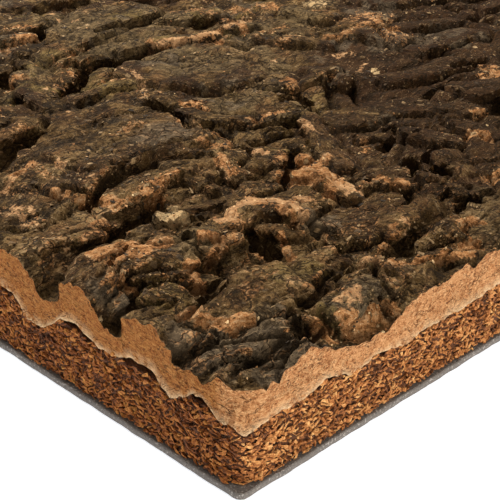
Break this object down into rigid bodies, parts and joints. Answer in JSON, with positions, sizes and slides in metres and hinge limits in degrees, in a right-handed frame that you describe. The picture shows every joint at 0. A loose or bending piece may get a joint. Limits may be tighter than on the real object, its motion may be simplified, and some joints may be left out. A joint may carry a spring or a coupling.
{
  "type": "cork bark slab",
  "caption": "Square wall tile of weathered virgin cork bark laminated on a pressed cork board, with a thin sheet on its flat back.",
  "frame": {"origin": "middle of the flat back face, which is the underside of the backing sheet as it lies", "axes": "+Z out of the weathered bark face, +Y along the bark's ridges and grain, +X across them; the tile's four sawn edges face +X, -X, +Y and -Y"},
  "size_m": [0.3, 0.3, 0.0392],
  "materials": {
    "virgin_cork_bark": "rough, weathered, dark grey-brown face with pale tan sawn edges",
    "pressed_cork": "coarse pressed granules, matt",
    "backing_sheet": "matt dark grey with fine pale specks"
  },
  "bodies": {
    "root": {"bark_slab": "virgin_cork_bark", "pressed_cork_board": "pressed_cork", "backing_sheet": "backing_sheet"}
  },
  "joints": []
}
